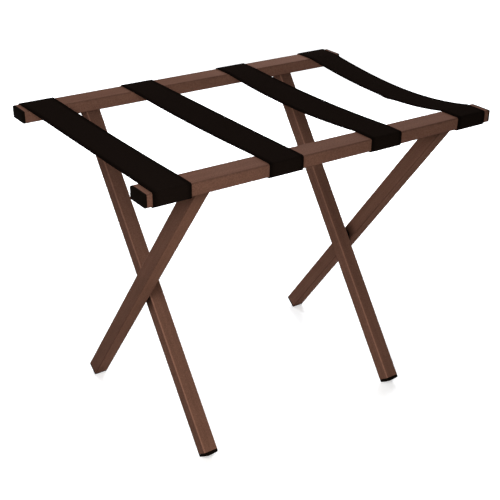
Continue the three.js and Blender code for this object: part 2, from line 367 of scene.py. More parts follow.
def signed_volume(points, faces):
    """The volume inside a closed mesh, by summing the tetrahedra between the origin and each fan triangle."""
    wide = np.array([face if len(face) == 4 else [*face, face[-1]] for face in faces])
    a, b, c, d = (points[wide[:, i]] for i in range(4))
    six_times = np.cross(a, b) * c + np.cross(a, c) * d
    return six_times.sum() / 6


def new_mesh(name, points, faces, finish):
    """A smooth object of that shape with its faces outwards, sharp only along edges past SHARP_ANGLE."""
    if signed_volume(points, faces) < 0:
        faces = [face[::-1] for face in faces]
    mesh = bpy.data.meshes.new(name)
    mesh.from_pydata(points.tolist(), [], faces)
    mesh.polygons.foreach_set("use_smooth", np.ones(len(mesh.polygons), bool))
    mesh.set_sharp_from_angle(angle=SHARP_ANGLE)
    mesh.materials.append(finish_named(finish))
    piece = bpy.data.objects.new(name, mesh)
    bpy.context.scene.collection.objects.link(piece)
    return piece


def dress(node, points, faces, finish, rides=True):
    """A surface in its finish that takes the place of a CAD node, and rides with the node's body or not."""
    piece = new_mesh(f"{node}_surface", points, faces, finish)
    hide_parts(node)
    if rides:
        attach(piece, frame["nodes"][node]["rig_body"])
    return piece


def coat_marks(piece, places, edge):
    """Keeps what the coat reads at each point: its place in the tube's own frame, and its painted highlight
    or shade.
    """
    own = piece.data.attributes.new("own", "FLOAT_VECTOR", "POINT")
    own.data.foreach_set("vector", np.asarray(places, np.float32).ravel())
    shade = piece.data.attributes.new("edge", "FLOAT", "POINT")
    shade.data.foreach_set("value", np.asarray(edge, np.float32))


def surface_map(piece, flat):
    """Lays the piece out flat: each corner of a face takes its point's place in the array of flat points."""
    corner = np.empty(len(piece.data.loops), np.int32)
    piece.data.loops.foreach_get("vertex_index", corner)
    layer = piece.data.uv_layers.new(name="flat")
    layer.uv.foreach_set("vector", flat[corner].astype(np.float32).ravel())


# Shapes that several pieces share

def rounded_rings(width, height, radius, splits=FLAT_SPLITS):
    """Rounded rectangles, one for each width, height and radius, as an array of rings by points by 2.

    A corner is an arc of a quarter turn about the point one radius in from both sides. A straight side runs
    from arc to arc and is split at the given shares of its length. The points turn counter-clockwise from the
    right-hand side.
    """
    width, height, radius = (np.atleast_1d(size)[:, None, None] for size in (width, height, radius))
    turn = np.linspace(0, math.pi / 2, CORNER_STEPS + 1)[None, :] + np.arange(4)[:, None] * math.pi / 2
    sign_x = np.array([1, -1, -1, 1])[None, :, None]
    sign_y = np.array([1, 1, -1, -1])[None, :, None]
    x = sign_x * (width / 2 - radius) + radius * np.cos(turn)
    y = sign_y * (height / 2 - radius) + radius * np.sin(turn)
    arcs = np.stack(np.broadcast_arrays(x, y), axis=-1)
    here = arcs[:, :, -1:, :]
    there = np.roll(arcs, -1, axis=1)[:, :, :1, :]
    sides = here + (there - here) * splits[None, None, :, None]
    return np.concatenate([arcs, sides], axis=2).reshape(len(arcs), -1, 2)


def edge_shade(upper, lower, splits=FLAT_SPLITS):
    """One number for each point of a rounded ring: 0 on the sides, and half a sine wave over each corner.

    The wave's height is upper on the two corners of the ring's +Y side and lower on the others.
    """
    arc = np.sin(2 * np.linspace(0, math.pi / 2, CORNER_STEPS + 1))
    corner = np.concatenate([arc, np.zeros(len(splits))])
    return np.concatenate([upper * corner, upper * corner, lower * corner, lower * corner])


def raised(flat, levels):
    """Flat rings, an array of rings by points by 2, each lifted to its own level along Z."""
    lift = np.broadcast_to(levels[:, None, None], (*flat.shape[:2], 1))
    return np.concatenate([flat, lift], axis=2)


def tube_rings(width, height, stations, splits=FLAT_SPLITS):
    """The rings of a tube along Z: up the outside through the stations, and back down the bore."""
    tube = settings("tubes")
    bore_corner = max(tube.corner - tube.wall, tube.wall / 3)
    outside = rounded_rings(width, height, tube.corner, splits)[0]
    bore = rounded_rings(width - 2 * tube.wall, height - 2 * tube.wall, bore_corner, splits)[0]
    flat = np.repeat([outside, bore], len(stations), axis=0)
    return raised(flat, np.concatenate([stations, stations[::-1]]))


def turned_rings(profile, steps=ROUND_STEPS):
    """Rings about the Z axis, one for each (radius, height) of the profile."""
    radius, height = np.array(profile).T[:, :, None]
    turn = np.arange(steps)[None, :] * 2 * math.pi / steps
    rings = (radius * np.cos(turn), radius * np.sin(turn), height)
    return np.stack(np.broadcast_arrays(*rings), axis=-1)


def mirrored(half):
    """A profile whose upper half is given, from the top down, with its lower half added."""
    return half + [(radius, -height) for radius, height in reversed(half)]


# A piece drawn with its own axis along Z is laid along X by turning its X, Y and Z to Y, Z and X
ALONG_X = np.array([[0, 1, 0], [0, 0, 1], [1, 0, 0]])


def placed(points, basis, origin):
    """Points drawn in a piece's own frame, turned to the basis and moved to the origin."""
    return points @ basis + origin


def leg_basis(leg):
    """The directions of a leg's own X, Y and Z: Z up the leg, and the inner legs turned half round."""
    way = 1 if leg == "outer" else -1
    sine = math.sin(LEG_LEAN)
    cosine = math.cos(LEG_LEAN)
    return np.array([[way, 0, 0], [0, way * cosine, sine], [0, -way * sine, cosine]])


def leg_origin(leg, side):
    """The middle of a leg at its pivot."""
    low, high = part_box(f"{leg}_leg_{side}")
    return np.array([(low.x + high.x) / 2, PIVOT[1], PIVOT[2]])


def node_points(node):
    """The corners of a CAD node's mesh, as an array."""
    mesh = frame["nodes"][node].data
    points = np.empty(len(mesh.vertices) * 3, np.float32)
    mesh.vertices.foreach_get("co", points)
    return points.reshape(-1, 3)


def reach_in_leg(node, leg, side):
    """The lowest and highest place of a node, measured up the leg from its pivot."""
    along = (node_points(node) - leg_origin(leg, side)) @ leg_basis(leg)[2]
    return float(along.min()), float(along.max())


# Finishes

# Nearly all the values of a noise lie in this span
NOISE_SPAN = (0.3, 0.7)

# Gloss is all but off on the coat and the plugs, because the white floor and background would mirror in them
COAT_GLOSS = 0.0003
PLUG_GLOSS = 0.001


def add_node(tree, kind, inputs=None, **options):
    """Adds a shader node with its own options, sets or links each named input, and gives its outputs."""
    node = tree.nodes.new(f"ShaderNode{kind}")
    for name, value in options.items():
        setattr(node, name, value)
    for name, value in (inputs or {}).items():
        if isinstance(value, NodeSocket):
            tree.links.new(value, node.inputs[name])
        else:
            node.inputs[name].default_value = value
    return node.outputs


def maths(tree, operation, *values):
    """What a maths node makes of its values."""
    return add_node(tree, "Math", dict(enumerate(values)), operation=operation)["Value"]


def noise(tree, place, width, detail, roughness):
    """A noise whose patches are about as wide as given."""
    return add_node(tree, "TexNoise", {
        "Vector": place, "Scale": 1 / width, "Detail": detail, "Roughness": roughness,
    })["Fac"]


def spread(tree, pattern, low, high, span=NOISE_SPAN, **options):
    """A pattern with the values of its span spread from low to high."""
    return add_node(tree, "MapRange", {
        "Value": pattern, "From Min": span[0], "From Max": span[1], "To Min": low, "To Max": high,
    }, **options)["Result"]


def new_material(name):
    """An empty material and its node tree."""
    material = bpy.data.materials.new(name)
    material.use_nodes = True
    material.node_tree.nodes.clear()
    return material, material.node_tree


def end_material(tree, colour, shade, inputs):
    """Ends a material with a shader in its colour times the shade, with its other inputs as given."""
    shaded = add_node(tree, "VectorMath", {0: colour[:3], "Scale": shade}, operation="SCALE")["Vector"]
    shader = add_node(tree, "BsdfPrincipled", {"Base Color": shaded, **inputs})["BSDF"]
    add_node(tree, "OutputMaterial", {"Surface": shader})


def powder_coat(name):
    """Polyester powder coat, baked on steel tube: dull, with faint waves where it flowed as it melted.

    It is darker in the hollows of its waves, which gives fine flecks. Streaks run along a tube, where the
    lines of its drawing show through, and clouds show where the coat lies thicker. The attribute "own" holds
    the place in the tube's frame, with Z along it, and "edge" holds a painted highlight or shade: how much
    lighter or darker the coat is painted there.
    """
    finish = settings("finish")
    cloud = 70 * MM
    # Real drawing lines are finer than these streaks, which are as wide as they need to be to show
    streak_length = 40 * finish.streak
    material, tree = new_material(name)
    place = add_node(tree, "TexCoord")["Object"]
    waves = noise(tree, place, finish.peel, detail=1.0, roughness=0.4)
    clouds = noise(tree, place, cloud, detail=2.0, roughness=0.5)
    own = add_node(tree, "Attribute", attribute_name="own")["Vector"]
    drawn = add_node(tree, "VectorMath", {
        0: own, 1: (1 / finish.streak, 1 / finish.streak, 1 / streak_length),
    }, operation="MULTIPLY")["Vector"]
    streaks = noise(tree, drawn, 1.0, detail=1.0, roughness=0.5)
    shade = 1.0
    for pattern, contrast in ((clouds, 0.06), (streaks, 0.06), (waves, 0.14)):
        shade = maths(tree, "MULTIPLY", shade, spread(tree, pattern, 1 - contrast, 1 + contrast))
    # Painted highlight or shade from the "edge" attribute lightens or darkens the coat
    edge = add_node(tree, "Attribute", attribute_name="edge")["Fac"]
    shade = maths(tree, "MULTIPLY_ADD", edge, shade, shade)
    roughness = spread(tree, waves, 0.4, 0.48)
    bump = add_node(tree, "Bump", {"Height": waves, "Strength": 0.25, "Distance": 0.06 * MM})["Normal"]
    end_material(tree, finish.coat, shade, {
        "Roughness": roughness, "IOR": 1.5, "Specular IOR Level": COAT_GLOSS, "Normal": bump,
    })
    return material


def nylon_webbing(name):
    """Black spun-nylon webbing in plain weave: matt, with round warp yarns that dip under each weft yarn.

    Neighbouring warp yarns dip in turn, so the weave looks like laid bricks. It is tighter and darker towards
    the selvedges. The map holds the place across and along the strap in metres. Real yarns and the fuzz on
    them are about half as wide. They are drawn coarser so that they show.
    """
    finish = settings("finish")
    fuzz_width = 0.5 * MM
    fuzz_height = 0.25
    heights = (0.0, 1.2)
    selvedge = (STRAP_WIDTH / 2 - finish.selvedge, STRAP_WIDTH / 2)
    material, tree = new_material(name)
    flat = add_node(tree, "UVMap", uv_map="flat")["UV"]
    split = add_node(tree, "SeparateXYZ", {"Vector": flat})
    across = maths(tree, "MULTIPLY", split["X"], 1 / finish.warp)
    along = maths(tree, "MULTIPLY", split["Y"], math.pi / finish.weft)
    yarn = maths(tree, "FLOOR", across)
    within = maths(tree, "FRACT", across)
    round_top = maths(tree, "SINE", maths(tree, "MULTIPLY", within, math.pi))
    stagger = maths(tree, "MULTIPLY_ADD", yarn, math.pi / 2, along)
    dip = maths(tree, "ABSOLUTE", maths(tree, "SINE", stagger))
    woven = maths(tree, "MULTIPLY", round_top, dip)
    fuzz = noise(tree, flat, fuzz_width, detail=2.0, roughness=0.6)
    height = maths(tree, "MULTIPLY_ADD", fuzz, fuzz_height, woven)
    # Painted shade: the weave is painted darker where its yarns dip low, and lighter where they stand high
    weave_hollow_shading = spread(tree, height, 0.55, 1.25, span=heights)
    from_middle = maths(tree, "ABSOLUTE", split["X"])
    by_edge = spread(tree, from_middle, 1.0, 0.45, span=selvedge, interpolation_type="SMOOTHSTEP")
    shade = maths(tree, "MULTIPLY", weave_hollow_shading, by_edge)
    bump = add_node(tree, "Bump", {"Height": height, "Strength": 0.5, "Distance": 0.3 * MM})["Normal"]
    end_material(tree, finish.webbing, shade, {
        "Roughness": 0.85, "IOR": 1.53, "Specular IOR Level": 0.0, "Normal": bump,
    })
    return material


def moulded_polyethylene(name):
    """Black polyethylene from a spark-eroded mould: half matt, with an even grain.

    The real grain is about a tenth of a millimetre wide. It is drawn coarser so that it shows.
    """
    finish = settings("finish")
    grain_width = 0.6 * MM
    material, tree = new_material(name)
    place = add_node(tree, "TexCoord")["Object"]
    grain = noise(tree, place, grain_width, detail=2.0, roughness=0.55)
    shade = spread(tree, grain, 0.85, 1.15)
    roughness = spread(tree, grain, 0.42, 0.56)
    bump = add_node(tree, "Bump", {"Height": grain, "Strength": 0.3, "Distance": 0.05 * MM})["Normal"]
    end_material(tree, finish.plastic, shade, {
        "Roughness": roughness, "IOR": 1.51, "Specular IOR Level": PLUG_GLOSS, "Normal": bump,
    })
    return material


def zinc_plate(name):
    """Bright zinc plate on steel: a soft metal sheen, a little uneven where the plating crystals lie.

    The real crystals are far finer. They are drawn coarser so that they show.
    """
    finish = settings("finish")
    crystal = 0.8 * MM
    material, tree = new_material(name)
    place = add_node(tree, "TexCoord")["Object"]
    crystals = noise(tree, place, crystal, detail=3.0, roughness=0.6)
    shade = spread(tree, crystals, 0.88, 1.05)
    roughness = spread(tree, crystals, 0.28, 0.42)
    end_material(tree, finish.zinc, shade, {"Metallic": 1.0, "Roughness": roughness})
    return material


FINISHES = {
    "powder_coat": powder_coat,
    "nylon_webbing": nylon_webbing,
    "moulded_polyethylene": moulded_polyethylene,
    "zinc_plate": zinc_plate,
}


def finish_named(name):
    """The finish of that name, made when it is first asked for."""
    return bpy.data.materials.get(name) or FINISHES[name](name)


# Pieces

class LUGGAGE_OT_rails(Operator):
    """Draws the two rails: oblong tubes with rounded edges, wide side up"""

    bl_idname = "luggage_rack.rails"
    bl_label = "Rails"

    def execute(self, context):
        finish = settings("finish")
        for rail in RAILS:
            node = f"{rail}_rail"
            low, high = np.array(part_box(node))
            stations = np.linspace(low[0], high[0], RAIL_STATIONS)
            rings = tube_rings(high[1] - low[1], high[2] - low[2], stations)
            own, faces = closed_stack(rings, wrap=True)
            middle = np.array([0, (low[1] + high[1]) / 2, (low[2] + high[2]) / 2])
            piece = dress(node, placed(own, ALONG_X, middle), faces, "powder_coat")
            # Painted shade along the rails' rounded edges, upper and lower
            edge = edge_shade(-finish.seam, -finish.other_edge_shading)
            coat_marks(piece, own + middle, np.tile(edge, len(rings)))
        return {"FINISHED"}


def drilled_leg(bottom, outside, sunk, plain):
    """A leg in its own frame: a square tube from its foot to a slanting cut under the rail, and its shades.

    The cut lies level when the leg leans, so its height is the leg's rise less the sine of the lean times y,
    over the cosine. A bore is a list of (radius, depth) circles through the wall. The sunk one is on the
    outside, which is -1 or 1 along X, and the plain one faces the other leg. Around a bore a square of the
    grid gives way to rays from the square's border to the circles. The shades are painted into the coat: a
    highlight along the upper edges, shade along the lower ones, shade under the rail that grows towards the
    welds with the square of the distance, and shade that grows in a straight line towards the pivot on the
    side that faces the other leg, where the legs shade each other.
    """
    tube = settings("tubes")
    finish = settings("finish")
    splits = np.arange(1, HOLE_STEPS) / HOLE_STEPS
    half = LEG_SIDE / 2 - tube.corner
    below_cut = np.array([30, 15, 6, 0]) * MM
    from_pivot = np.array([14, 20, 26, 32]) * MM
    square = np.linspace(-half, half, HOLE_STEPS + 1)
    stations = np.concatenate([[bottom], -from_pivot[::-1], square, from_pivot, LEG_RISE - below_cut])
    first_row = 1 + len(from_pivot)
    rings = tube_rings(LEG_SIDE, LEG_SIDE, stations, splits)
    slanting = (rings[:, :, 2] - rings[:, :, 1] * math.sin(LEG_LEAN)) / math.cos(LEG_LEAN)
    rings[:, :, 2] = np.where(rings[:, :, 2] > from_pivot[-1], slanting, rings[:, :, 2])
    count, size = rings.shape[:2]
    kept = np.ones((count, size), bool)
    points = [rings.reshape(-1, 3)]
    faces = []
    step = np.arange(HOLE_STEPS)
    zero = np.zeros(HOLE_STEPS, int)
    row = first_row + np.concatenate([zero, step, zero + HOLE_STEPS, HOLE_STEPS - step])
    column = np.concatenate([step, zero + HOLE_STEPS, HOLE_STEPS - step, zero])
    for side, circles in ((outside, sunk), (-outside, plain)):
        corner = 3 if side > 0 else 1
        start = corner * size // 4 + CORNER_STEPS
        columns = (start + step) % size
        kept[np.ix_(first_row + step, columns)] = False
        kept[np.ix_(count - 1 - first_row - HOLE_STEPS + step, columns)] = False
        outer_loop = row * size + (start + column) % size
        inner_loop = (count - 1 - row) * size + (start + column) % size
        border = points[0][outer_loop]
        turn = np.arctan2(border[:, 2], border[:, 1])[None, :]
        radius, depth = np.array(circles).T[:, :, None]
        x = side * (LEG_SIDE / 2 - depth)
        drill = np.stack(np.broadcast_arrays(x, radius * np.cos(turn), radius * np.sin(turn)), axis=-1)
        first = sum(len(part) for part in points)
        loops = first + np.arange(drill.shape[0] * drill.shape[1]).reshape(drill.shape[:2])
        loops = np.concatenate([outer_loop[None], loops, inner_loop[None]])
        fan = grid_faces(*loops.shape).reshape(-1, 4)
        faces.append(loops.ravel()[fan])
        points.append(drill.reshape(-1, 3))
    faces.append(grid_faces(count, size, wrap=True)[kept])
    points = np.concatenate(points)
    # Painted shade under the rail: darker towards the welds, where the rail shades the leg's top
    under_rail_shading = -finish.under_rail_shading * np.clip(1 - (LEG_RISE - stations) / below_cut[0], 0, 1) ** 2
    # Painted highlight along the upper edges, painted shade along the others and under the rail
    edge = edge_shade(finish.edge_highlight, -finish.other_edge_shading, splits) + np.concatenate([under_rail_shading, under_rail_shading[::-1]])[:, None]
    edge = np.concatenate([edge.ravel(), np.zeros(len(points) - edge.size)])
    # Painted shade round the pivot, on the side that faces the other leg, where the legs shade each other
    on_facing_side = np.isclose(points[:, 0], -outside * LEG_SIDE / 2, atol=0.01 * MM)
    away = np.hypot(points[:, 1], points[:, 2])
    nearness = np.clip((from_pivot[-1] - away) / (from_pivot[-1] - half), 0, 1)
    edge -= finish.pivot_gap_shading * on_facing_side * nearness
    return points, np.concatenate(faces).tolist(), edge


class LUGGAGE_OT_legs(Operator):
    """Draws the four legs: square tubes, cut slanting under the rails and drilled for the pivot rivets"""

    bl_idname = "luggage_rack.legs"
    bl_label = "Legs"

    def execute(self, context):
        wall = settings("tubes").wall
        head, shank = pivot_radii()
        fit = 0.1 * MM
        sunk = [(head + fit, 0), (head + fit, RIVET_LIP), (shank + fit, wall)]
        plain = [(shank + fit, 0), (shank + fit, wall)]
        for leg, (side, outside) in product(LEGS, SIDES.items()):
            node = f"{leg}_leg_{side}"
            bottom, _ = reach_in_leg(node, leg, side)
            own, faces, edge = drilled_leg(bottom, outside, sunk, plain)
            origin = leg_origin(leg, side)
            piece = dress(node, placed(own, leg_basis(leg), origin), faces, "powder_coat")
            coat_marks(piece, own + origin, edge)
        return {"FINISHED"}


def weld_rings(leg, side):
    """The bead of weld round the top of a leg, as rings along the leg's outline.

    Each ring is the bead's section: a curve that bulges from its toe on the rail's underside to its toe down
    the leg, closed inside the steel. The toes swell with a cosine along the outline, which makes ripples.
    """
    tube = settings("tubes")
    ripple_height = 0.1
    fullness = 0.62
    sink = 0.5 * MM
    basis = leg_basis(leg)
    flat = rounded_rings(LEG_SIDE, LEG_SIDE, tube.corner, WELD_SPLITS)[0]
    up = (LEG_RISE - flat[:, 1] * math.sin(LEG_LEAN)) / math.cos(LEG_LEAN)
    root = placed(np.column_stack([flat, up]), basis, leg_origin(leg, side))
    tangent = np.roll(root, -1, axis=0) - np.roll(root, 1, axis=0)
    outward = np.cross(tangent, [0, 0, 1])
    outward /= np.linalg.norm(outward, axis=1, keepdims=True)
    steps = np.linalg.norm(np.roll(root, -1, axis=0) - root, axis=1)
    travel = np.concatenate([[0], np.cumsum(steps)[:-1]])
    ripples = round(steps.sum() / tube.ripple)
    swell = 1 + ripple_height * np.cos(2 * math.pi * ripples * travel / steps.sum())
    toe = (tube.weld * swell)[:, None]
    on_rail = toe * outward
    on_leg = -toe * basis[2]
    bulge = fullness * (on_rail + on_leg)
    t = np.linspace(0, 1, WELD_STEPS)[None, :, None]
    curve = (1 - t) ** 2 * on_rail[:, None] + 2 * t * (1 - t) * bulge[:, None] + t ** 2 * on_leg[:, None]
    above = on_rail + [0, 0, sink]
    within = on_leg - sink * outward
    heart = [0, 0, sink] - 2 * sink * outward
    section = np.concatenate([above[:, None], curve, within[:, None], heart[:, None]], axis=1)
    return root[:, None] + section


class LUGGAGE_OT_welds(Operator):
    """Draws the welds that join the legs to the rails, under the same coat"""

    bl_idname = "luggage_rack.welds"
    bl_label = "Welds"

    def execute(self, context):
        for (leg, rail), side in product(LEGS.items(), SIDES):
            points, faces = closed_stack(weld_rings(leg, side), wrap=True)
            piece = new_mesh(f"{leg}_leg_weld_{side}", points, faces, "powder_coat")
            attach(piece, RAILS[rail])
        return {"FINISHED"}


def plug_rings(width, height, top, crown, depth):
    """A plug for a tube that ends at z = 0, as rings from the middle of its face to the bottom of its hollow.

    The face is crowned: it falls from the top by the crown, with the square of the distance from its middle.
    A quarter round leads to the flange's side. Under the flange the insert runs down in fins to its end, at
    the depth, and back up inside its shell. Each ring has an inset from the tube's outline, a scale and a
    level.
    """
    plug = settings("plugs")
    tube = settings("tubes")
    innermost = 0.08
    fins = 2
    half_fin = 0.6 * MM
    least_radius = 0.3 * MM
    share = np.linspace(innermost, 1, PLUG_STEPS)
    face = np.column_stack([np.full(PLUG_STEPS, plug.edge), share, top - crown * share ** 2])
    turn = np.linspace(0, math.pi / 2, PLUG_STEPS)[1:]
    edge = np.column_stack([
        plug.edge * (1 - np.sin(turn)),
        np.ones(len(turn)),
        top - crown - plug.edge * (1 - np.cos(turn)),
    ])
    fin = tube.wall + CLEARANCE
    core = fin + plug.fin
    hollow = core + plug.shell
    under = [(0, CLEARANCE), (core, CLEARANCE)]
    for number in range(1, fins + 1):
        middle = -number * plug.fin_spacing
        under += [
            (core, middle + half_fin),
            (fin, middle + half_fin / 2),
            (fin, middle - half_fin / 2),
            (core, middle - half_fin),
        ]
    under += [(core, -depth), (hollow, -depth), (hollow, CLEARANCE), (hollow + plug.shell, CLEARANCE)]
    under = np.insert(np.array(under), 1, 1, axis=1)
    inset, scale, level = np.concatenate([face, edge, under]).T
    radius = np.maximum(tube.corner - inset, least_radius)
    flat = rounded_rings((width - 2 * inset) * scale, (height - 2 * inset) * scale, radius * scale)
    return raised(flat, level)


class LUGGAGE_OT_plugs(Operator):
    """Draws the moulded plugs that close the rails"""

    bl_idname = "luggage_rack.plugs"
    bl_label = "Rail plugs"

    def execute(self, context):
        crown = settings("plugs").crown
        for rail, (side, way) in product(RAILS, SIDES.items()):
            node = f"{rail}_rail_plug_{side}"
            low, high = np.array(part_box(f"{rail}_rail"))
            plug_low, plug_high = np.array(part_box(node))
            top = plug_high[0] - high[0] if way > 0 else low[0] - plug_low[0]
            depth = high[0] - plug_low[0] if way > 0 else plug_high[0] - low[0]
            rings = plug_rings(high[1] - low[1], high[2] - low[2], top, crown, depth)
            points, faces = closed_stack(rings)
            end = np.array([way * high[0], (low[1] + high[1]) / 2, (low[2] + high[2]) / 2])
            points = placed(points, ALONG_X * [way, way, 1], end)
            dress(node, points, faces, "moulded_polyethylene")
        return {"FINISHED"}


class LUGGAGE_OT_feet(Operator):
    """Draws the moulded plugs in the legs that stand on the floor"""

    bl_idname = "luggage_rack.feet"
    bl_label = "Feet"

    def execute(self, context):
        crown = settings("plugs").foot_crown
        for leg, side in product(LEGS, SIDES):
            node = f"{leg}_foot_{side}"
            tube_end, _ = reach_in_leg(f"{leg}_leg_{side}", leg, side)
            face, insert_end = reach_in_leg(node, leg, side)
            top = tube_end - face + crown
            rings = plug_rings(LEG_SIDE, LEG_SIDE, top, crown, insert_end - tube_end)
            points, faces = closed_stack(rings)
            points = points * [1, -1, -1] + [0, 0, tube_end]
            points = placed(points, leg_basis(leg), leg_origin(leg, side))
            dress(node, points, faces, "moulded_polyethylene")
        return {"FINISHED"}


def pivot_radii():
    """The radius of a pivot rivet's head and of its shank: the farthest and nearest points of its sides.

    The shank is looked for clear of the rivet's ends and of its axis.
    """
    clear = 1 * MM
    points = node_points("pivot_rivet_left")
    radius = np.hypot(points[:, 1] - PIVOT[1], points[:, 2] - PIVOT[2])
    inside = np.abs(points[:, 0] - points[:, 0].mean()) < np.ptp(points[:, 0]) / 2 - clear
    return float(radius.max()), float(radius[inside & (radius > clear)].min())


class LUGGAGE_OT_pivots(Operator):
    """Draws the pivot rivets, dimpled by the setting tool and coated, and the spacers on them"""

    bl_idname = "luggage_rack.pivots"
    bl_label = "Pivots"

    def execute(self, context):
        wall = settings("tubes").wall
        head, shank = pivot_radii()
        pit = 0.3 * MM
        dimple = 3.0 * MM
        depth = 1.2 * MM
        edge = 0.6 * MM
        bore = shank + CLEARANCE
        for side in SIDES:
            node = f"pivot_rivet_{side}"
            low, high = np.array(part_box(node))
            middle = np.array([(low[0] + high[0]) / 2, PIVOT[1], PIVOT[2]])
            end = (high[0] - low[0]) / 2
            profile = mirrored([
                (pit, end - depth),
                (dimple - 2 * RIVET_LIP, end - RIVET_LIP),
                (dimple, end - RIVET_LIP / 4),
                (dimple + 2 * RIVET_LIP, end),
                (head - RIVET_LIP, end),
                (head, end - RIVET_LIP),
                (shank, end - wall),
            ])
            points, faces = closed_stack(turned_rings(profile))
            points = placed(points, ALONG_X, middle)
            dress(node, points, faces, "powder_coat")

            node = f"pivot_spacer_{side}"
            low, high = np.array(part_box(node))
            outer = (high[2] - low[2]) / 2
            half_width = (high[0] - low[0]) / 2
            turn = math.pi / 2 - np.linspace(0, math.pi / 2, EDGE_STEPS)
            rounding = np.column_stack([
                outer - edge + edge * np.cos(turn),
                half_width - edge + edge * np.sin(turn),
            ])
            profile = mirrored([(bore, half_width), *rounding.tolist()])
            points, faces = closed_stack(turned_rings(profile), wrap=True)
            points = placed(points, ALONG_X, middle)
            dress(node, points, faces, "moulded_polyethylene")
        return {"FINISHED"}


class LUGGAGE_OT_sleeves(Operator):
    """Plates the sleeves that stiffen the legs inside, round the pivot rivets"""

    bl_idname = "luggage_rack.sleeves"
    bl_label = "Sleeves"

    def execute(self, context):
        for leg, side in product(LEGS, SIDES):
            mesh = frame["nodes"][f"{leg}_leg_sleeve_{side}"].data
            mesh.materials.clear()
            mesh.materials.append(finish_named("zinc_plate"))
        return {"FINISHED"}


def free_reach():
    """The distance from the middle of the rack at which a strap leaves a rail's flat top."""
    return RAIL_REACH - RAIL_DEPTH / 2 + settings("tubes").corner


def strap_line(rise, tail):
    """A taut strap's line in Y and Z at a height over the rails' skin, its normals, its travel and its place.

    From the tail's cut end under the front rail the line runs out, round the rail's lower and upper outer
    edges, over its top and across to the back rail, where it does the same the other way. Straight stretches
    and quarter rounds follow each other, each with its own number of steps. The travel is the length from the
    cut end. The place is the share of the free reach, from -1 at the front rail to 1 at the back rail.
    """
    corner = settings("tubes").corner
    outer = RAIL_REACH + RAIL_DEPTH / 2
    bend = outer - corner
    radius = corner + rise
    leaves = free_reach()
    low = RAIL_LOW[2]
    high = RAIL_HIGH[2]

    def straight(start, end, normal, steps):
        """Even steps from the start up to the end, each with the same normal."""
        share = np.arange(steps)[:, None] / steps
        line = np.array(start) + share * (np.array(end) - np.array(start))
        return np.column_stack([line, np.broadcast_to(normal, line.shape)])

    def turn(centre, start):
        """A quarter circle about its centre, clockwise from the start angle, with its outward normals."""
        angle = math.radians(start) - np.arange(BEND_STEPS) / BEND_STEPS * math.pi / 2
        normal = np.column_stack([np.cos(angle), np.sin(angle)])
        return np.column_stack([np.array(centre) + radius * normal, normal])

    half = np.concatenate([
        straight((tail - outer, low - rise), (-bend, low - rise), (0, -1), TAIL_STEPS),
        turn((-bend, low + corner), 270),
        straight((-outer - rise, low + corner), (-outer - rise, high - corner), (-1, 0), SIDE_STEPS),
        turn((-bend, high - corner), 180),
        straight((-bend, high + rise), (-leaves, high + rise), (0, 1), TOP_STEPS),
        straight((-leaves, high + rise), (0, high + rise), (0, 1), FREE_STEPS),
    ])
    middle = np.array([[0, high + rise, 0, 1]])
    line = np.concatenate([half, middle, (half * [-1, 1, -1, 1])[::-1]])
    steps = np.linalg.norm(np.diff(line[:, :2], axis=0), axis=1)
    travel = np.concatenate([[0], np.cumsum(steps)])
    place = np.clip(line[:, 0] / leaves, -1, 1)
    place = np.where(line[:, 1] > high, place, 1)
    return line[:, :2], line[:, 2:], travel, place


def strap_drop(number, place, share):
    """How far the points of a strap drop between the rails, and the slope of that drop along the strap.

    The drop is a parabola, 1 less the place squared, times a depth. The depth goes in a straight line across
    the strap from the left edge's sag to the right edge's, and grows towards the front with the slump. A curl
    adds a bell curve along the left edge, which fades with the cube of the share of the width from the right.
    """
    strap = settings("straps")
    reach = free_reach()
    hang = 1 - place ** 2
    left = strap.left_sag[number]
    slump = strap.slump[number]
    depth = left + (strap.right_sag[number] - left) * share - slump * place
    away = (place * reach - strap.curl_place) / strap.curl_width
    curl = strap.curl[number] * (1 - share) ** 3 * np.exp(-(away ** 2))
    slope = -(2 * place * depth + slump * hang) / reach - 2 * away * curl / strap.curl_width
    return hang * depth + curl, np.where(np.abs(place) < 1, slope, 0)


def rivet_dents(name, across, line):
    """How far the rivets press each point of a strap's tails, as a share: a bell curve about each rivet."""
    pressed = np.zeros((len(line), len(across)))
    for rail, side in product(RAILS, SIDES):
        low, high = np.array(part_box(f"{rail}_rivet_{name}_{side}"))
        rivet = (low + high) / 2
        head = (high[0] - low[0]) / 2
        away = np.hypot(across[None, :] - rivet[0], line[:, :1] - rivet[1]) / head
        pressed += np.where(line[:, 1:] < RAIL_LOW[2], np.exp(-(away ** 2)), 0)
    return pressed


